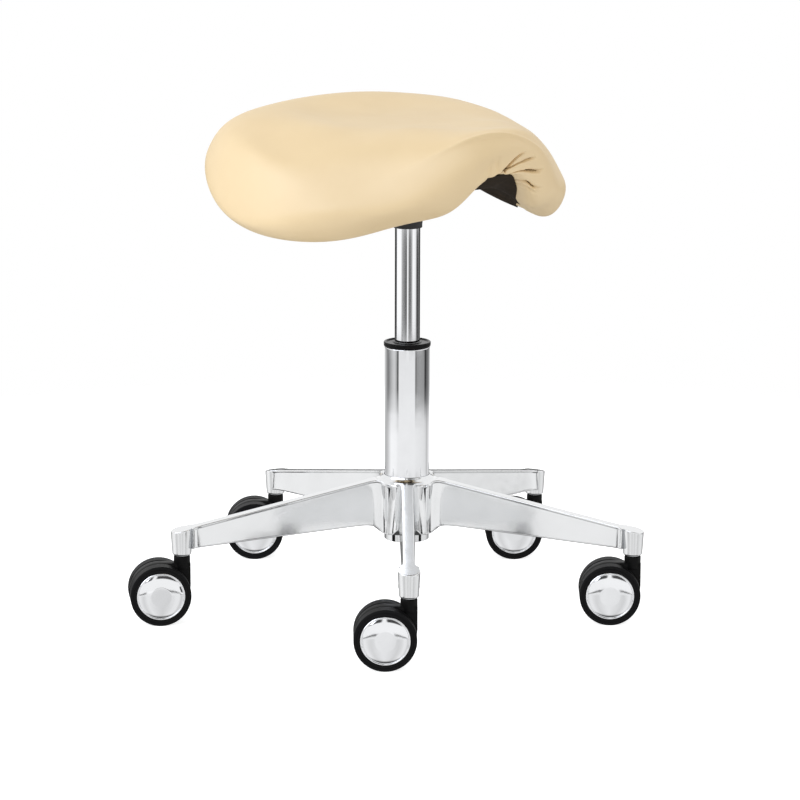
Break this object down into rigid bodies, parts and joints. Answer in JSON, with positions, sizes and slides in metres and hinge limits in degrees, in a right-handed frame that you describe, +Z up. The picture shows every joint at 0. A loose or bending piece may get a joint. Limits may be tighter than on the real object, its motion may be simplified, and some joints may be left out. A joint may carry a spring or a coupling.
{
  "type": "saddle stool",
  "caption": "Wheeled saddle stool: split-front saddle seat on a gas lift, die-cast star base with twin-wheel castors, height lever under the seat.",
  "frame": {"origin": "on the floor, in the middle of the footprint of the whole stool as stored", "axes": "+Z up; the sitter faces -Y; +X is the sitter's left"},
  "size_m": [0.5762, 0.5464, 0.5634],
  "materials": {
    "polished_aluminium": "polished die casting, nearly a mirror",
    "chromed_steel": "bright chrome plating",
    "zinc_steel": "zinc plated, dull",
    "black_nylon": "moulded, satin",
    "wheel_nylon": "moulded, satin",
    "black_paint": "powder coat, satin",
    "bumper_rubber": "matt",
    "cream_leatherette": "cream, soft grain, satin",
    "padding_foam": "moulded foam, open",
    "beech_ply": "sanded, bare",
    "dust_cloth": "dark brown woven cloth, matt"
  },
  "bodies": {
    "base": {"star_base": "polished_aluminium", "column_tube": "chromed_steel", "guide_sleeve": "black_nylon", "bearing_washer_lower": "zinc_steel", "castor_1_stem": "zinc_steel", "castor_2_stem": "zinc_steel", "castor_3_stem": "zinc_steel", "castor_4_stem": "zinc_steel", "castor_5_stem": "zinc_steel"},
    "lift_rod": {"piston_rod": "zinc_steel", "thrust_bearing": "zinc_steel", "bearing_washer_upper": "zinc_steel", "bump_stop": "bumper_rubber", "retaining_clip": "zinc_steel"},
    "seat": {"gas_cylinder": "chromed_steel", "seat_socket": "black_paint", "seat_plate": "black_paint", "lever_pivot_pin": "zinc_steel", "seat_screw_1": "zinc_steel", "seat_screw_2": "zinc_steel", "seat_screw_3": "zinc_steel", "seat_screw_4": "zinc_steel", "seat_shell": "beech_ply", "seat_foam": "padding_foam", "seat_cover": "cream_leatherette", "dust_cover": "dust_cloth"},
    "lever": {"release_lever": "zinc_steel", "lever_grip": "black_nylon"},
    "valve": {"release_pin": "zinc_steel"},
    "castor_1": {"castor_1_hood": "black_nylon", "castor_1_axle": "zinc_steel"},
    "castor_1_left": {"castor_1_wheel_left": "wheel_nylon", "castor_1_cap_left": "chromed_steel"},
    "castor_1_right": {"castor_1_wheel_right": "wheel_nylon", "castor_1_cap_right": "chromed_steel"},
    "castor_2": {"castor_2_hood": "black_nylon", "castor_2_axle": "zinc_steel"},
    "castor_2_left": {"castor_2_wheel_left": "wheel_nylon", "castor_2_cap_left": "chromed_steel"},
    "castor_2_right": {"castor_2_wheel_right": "wheel_nylon", "castor_2_cap_right": "chromed_steel"},
    "castor_3": {"castor_3_hood": "black_nylon", "castor_3_axle": "zinc_steel"},
    "castor_3_left": {"castor_3_wheel_left": "wheel_nylon", "castor_3_cap_left": "chromed_steel"},
    "castor_3_right": {"castor_3_wheel_right": "wheel_nylon", "castor_3_cap_right": "chromed_steel"},
    "castor_4": {"castor_4_hood": "black_nylon", "castor_4_axle": "zinc_steel"},
    "castor_4_left": {"castor_4_wheel_left": "wheel_nylon", "castor_4_cap_left": "chromed_steel"},
    "castor_4_right": {"castor_4_wheel_right": "wheel_nylon", "castor_4_cap_right": "chromed_steel"},
    "castor_5": {"castor_5_hood": "black_nylon", "castor_5_axle": "zinc_steel"},
    "castor_5_left": {"castor_5_wheel_left": "wheel_nylon", "castor_5_cap_left": "chromed_steel"},
    "castor_5_right": {"castor_5_wheel_right": "wheel_nylon", "castor_5_cap_right": "chromed_steel"}
  },
  "joints": [
    {"name": "seat_swivel", "type": "hinge", "parent": "base", "child": "lift_rod", "pos_m": [0.0201, -0.03826, 0.077], "axis": [0, 0, 1], "continuous": true},
    {"name": "seat_height", "type": "slide", "parent": "lift_rod", "child": "seat", "axis": [0, 0, 1], "range_m": [-0.124, 0]},
    {"name": "lever_tilt", "type": "hinge", "parent": "seat", "child": "lever", "pos_m": [0.01257, -0.01759, 0.4692], "axis": [0.9397, 0.342, 0], "range_deg": [0, 3.5], "stiffness_Nm_per_rad": 3, "springref_deg": -5.73},
    {"name": "valve_press", "type": "slide", "parent": "seat", "child": "valve", "axis": [0, 0, 1], "range_m": [-0.0015, 0]},
    {"name": "castor_1_swivel", "type": "hinge", "parent": "base", "child": "castor_1", "pos_m": [-0.13589, -0.24715, 0.0738], "axis": [0, 0, 1], "continuous": true},
    {"name": "castor_1_left_spin", "type": "hinge", "parent": "castor_1", "child": "castor_1_left", "pos_m": [-0.16512, -0.24477, 0.0335], "axis": [-0.5906, -0.807, 0], "continuous": true},
    {"name": "castor_1_right_spin", "type": "hinge", "parent": "castor_1", "child": "castor_1_right", "pos_m": [-0.14699, -0.22, 0.0335], "axis": [-0.5906, -0.807, 0], "continuous": true},
    {"name": "castor_2_swivel", "type": "hinge", "parent": "base", "child": "castor_2", "pos_m": [0.17056, -0.25116, 0.0738], "axis": [0, 0, 1], "continuous": true},
    {"name": "castor_2_left_spin", "type": "hinge", "parent": "castor_2", "child": "castor_2_left", "pos_m": [0.14144, -0.24761, 0.0335], "axis": [-0.6225, -0.7826, 0], "continuous": true},
    {"name": "castor_2_right_spin", "type": "hinge", "parent": "castor_2", "child": "castor_2_right", "pos_m": [0.16055, -0.22359, 0.0335], "axis": [-0.6225, -0.7826, 0], "continuous": true},
    {"name": "castor_3_swivel", "type": "hinge", "parent": "base", "child": "castor_3", "pos_m": [0.26907, 0.03904, 0.0738], "axis": [0, 0, 1], "continuous": true},
    {"name": "castor_3_left_spin", "type": "hinge", "parent": "castor_3", "child": "castor_3_left", "pos_m": [0.2398, 0.04091, 0.0335], "axis": [-0.5764, -0.8171, 0], "continuous": true},
    {"name": "castor_3_right_spin", "type": "hinge", "parent": "castor_3", "child": "castor_3_right", "pos_m": [0.25749, 0.066, 0.0335], "axis": [-0.5764, -0.8171, 0], "continuous": true},
    {"name": "castor_4_swivel", "type": "hinge", "parent": "base", "child": "castor_4", "pos_m": [0.02351, 0.22241, 0.0738], "axis": [0, 0, 1], "continuous": true},
    {"name": "castor_4_left_spin", "type": "hinge", "parent": "castor_4", "child": "castor_4_left", "pos_m": [-0.00579, 0.22377, 0.0335], "axis": [-0.5621, -0.8271, 0], "continuous": true},
    {"name": "castor_4_right_spin", "type": "hinge", "parent": "castor_4", "child": "castor_4_right", "pos_m": [0.01146, 0.24916, 0.0335], "axis": [-0.5621, -0.8271, 0], "continuous": true},
    {"name": "castor_5_swivel", "type": "hinge", "parent": "base", "child": "castor_5", "pos_m": [-0.22677, 0.04553, 0.0738], "axis": [0, 0, 1], "continuous": true},
    {"name": "castor_5_left_spin", "type": "hinge", "parent": "castor_5", "child": "castor_5_left", "pos_m": [-0.25607, 0.04423, 0.0335], "axis": [-0.4848, -0.8746, 0], "continuous": true},
    {"name": "castor_5_right_spin", "type": "hinge", "parent": "castor_5", "child": "castor_5_right", "pos_m": [-0.24119, 0.07108, 0.0335], "axis": [-0.4848, -0.8746, 0], "continuous": true}
  ],
  "couplings": [
    {"joint": "valve_press", "follows": "lever_tilt", "m_per_rad": -0.022}
  ]
}
